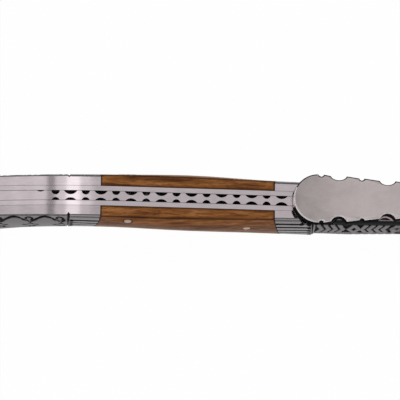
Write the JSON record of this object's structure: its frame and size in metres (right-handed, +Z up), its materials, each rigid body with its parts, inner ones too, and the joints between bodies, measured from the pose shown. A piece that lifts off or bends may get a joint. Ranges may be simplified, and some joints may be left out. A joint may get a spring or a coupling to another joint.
{
  "type": "folding knife",
  "caption": "Slip-joint folding pocket knife with a filed back spring, a wide spring end plate, carved steel bolsters and wooden scales, standing closed on its belly.",
  "frame": {"origin": "middle of the bounding box of the closed knife, on the surface that its belly stands on", "axes": "+X along the handle to the pivot end, +Y to the left side, +Z up, out of the back of the handle"},
  "size_m": [0.116, 0.013, 0.0236],
  "materials": {
    "liner_steel": "brushed on the back, blackened inside",
    "bolster_steel": "brushed, with blackened carving",
    "pin_steel": "ground flush",
    "spring_steel": "brushed across",
    "blade_steel": "satin polished",
    "scale_wood": "oiled",
    "rivet_metal": "pale, ground flush"
  },
  "bodies": {
    "handle": {"liner_left": "liner_steel", "liner_right": "liner_steel", "scale_left": "scale_wood", "scale_right": "scale_wood", "front_bolster_left": "bolster_steel", "front_bolster_right": "bolster_steel", "rear_bolster_left": "bolster_steel", "rear_bolster_right": "bolster_steel", "front_bolster_dowel_left": "pin_steel", "front_bolster_dowel_right": "pin_steel", "rear_bolster_dowel_left": "pin_steel", "rear_bolster_dowel_right": "pin_steel", "scale_rivet_rear_left": "rivet_metal", "scale_rivet_rear_right": "rivet_metal", "scale_rivet_front_left": "rivet_metal", "scale_rivet_front_right": "rivet_metal", "pivot_pin": "pin_steel", "spring_rear_pin": "pin_steel", "spring_middle_pin": "pin_steel"},
    "spring": {"back_spring": "spring_steel", "spring_plate": "spring_steel"},
    "blade": {"blade": "blade_steel"}
  },
  "joints": [
    {"name": "blade_pivot", "type": "hinge", "parent": "handle", "child": "blade", "pos_m": [0.0505, 0, 0.00847], "axis": [0, -1, 0], "range_deg": [0, 180]},
    {"name": "spring_flex", "type": "hinge", "parent": "handle", "child": "spring", "pos_m": [-0.0538, 0, 0.011], "axis": [0, -1, 0], "range_deg": [0, 0.65], "stiffness_Nm_per_rad": 12}
  ]
}
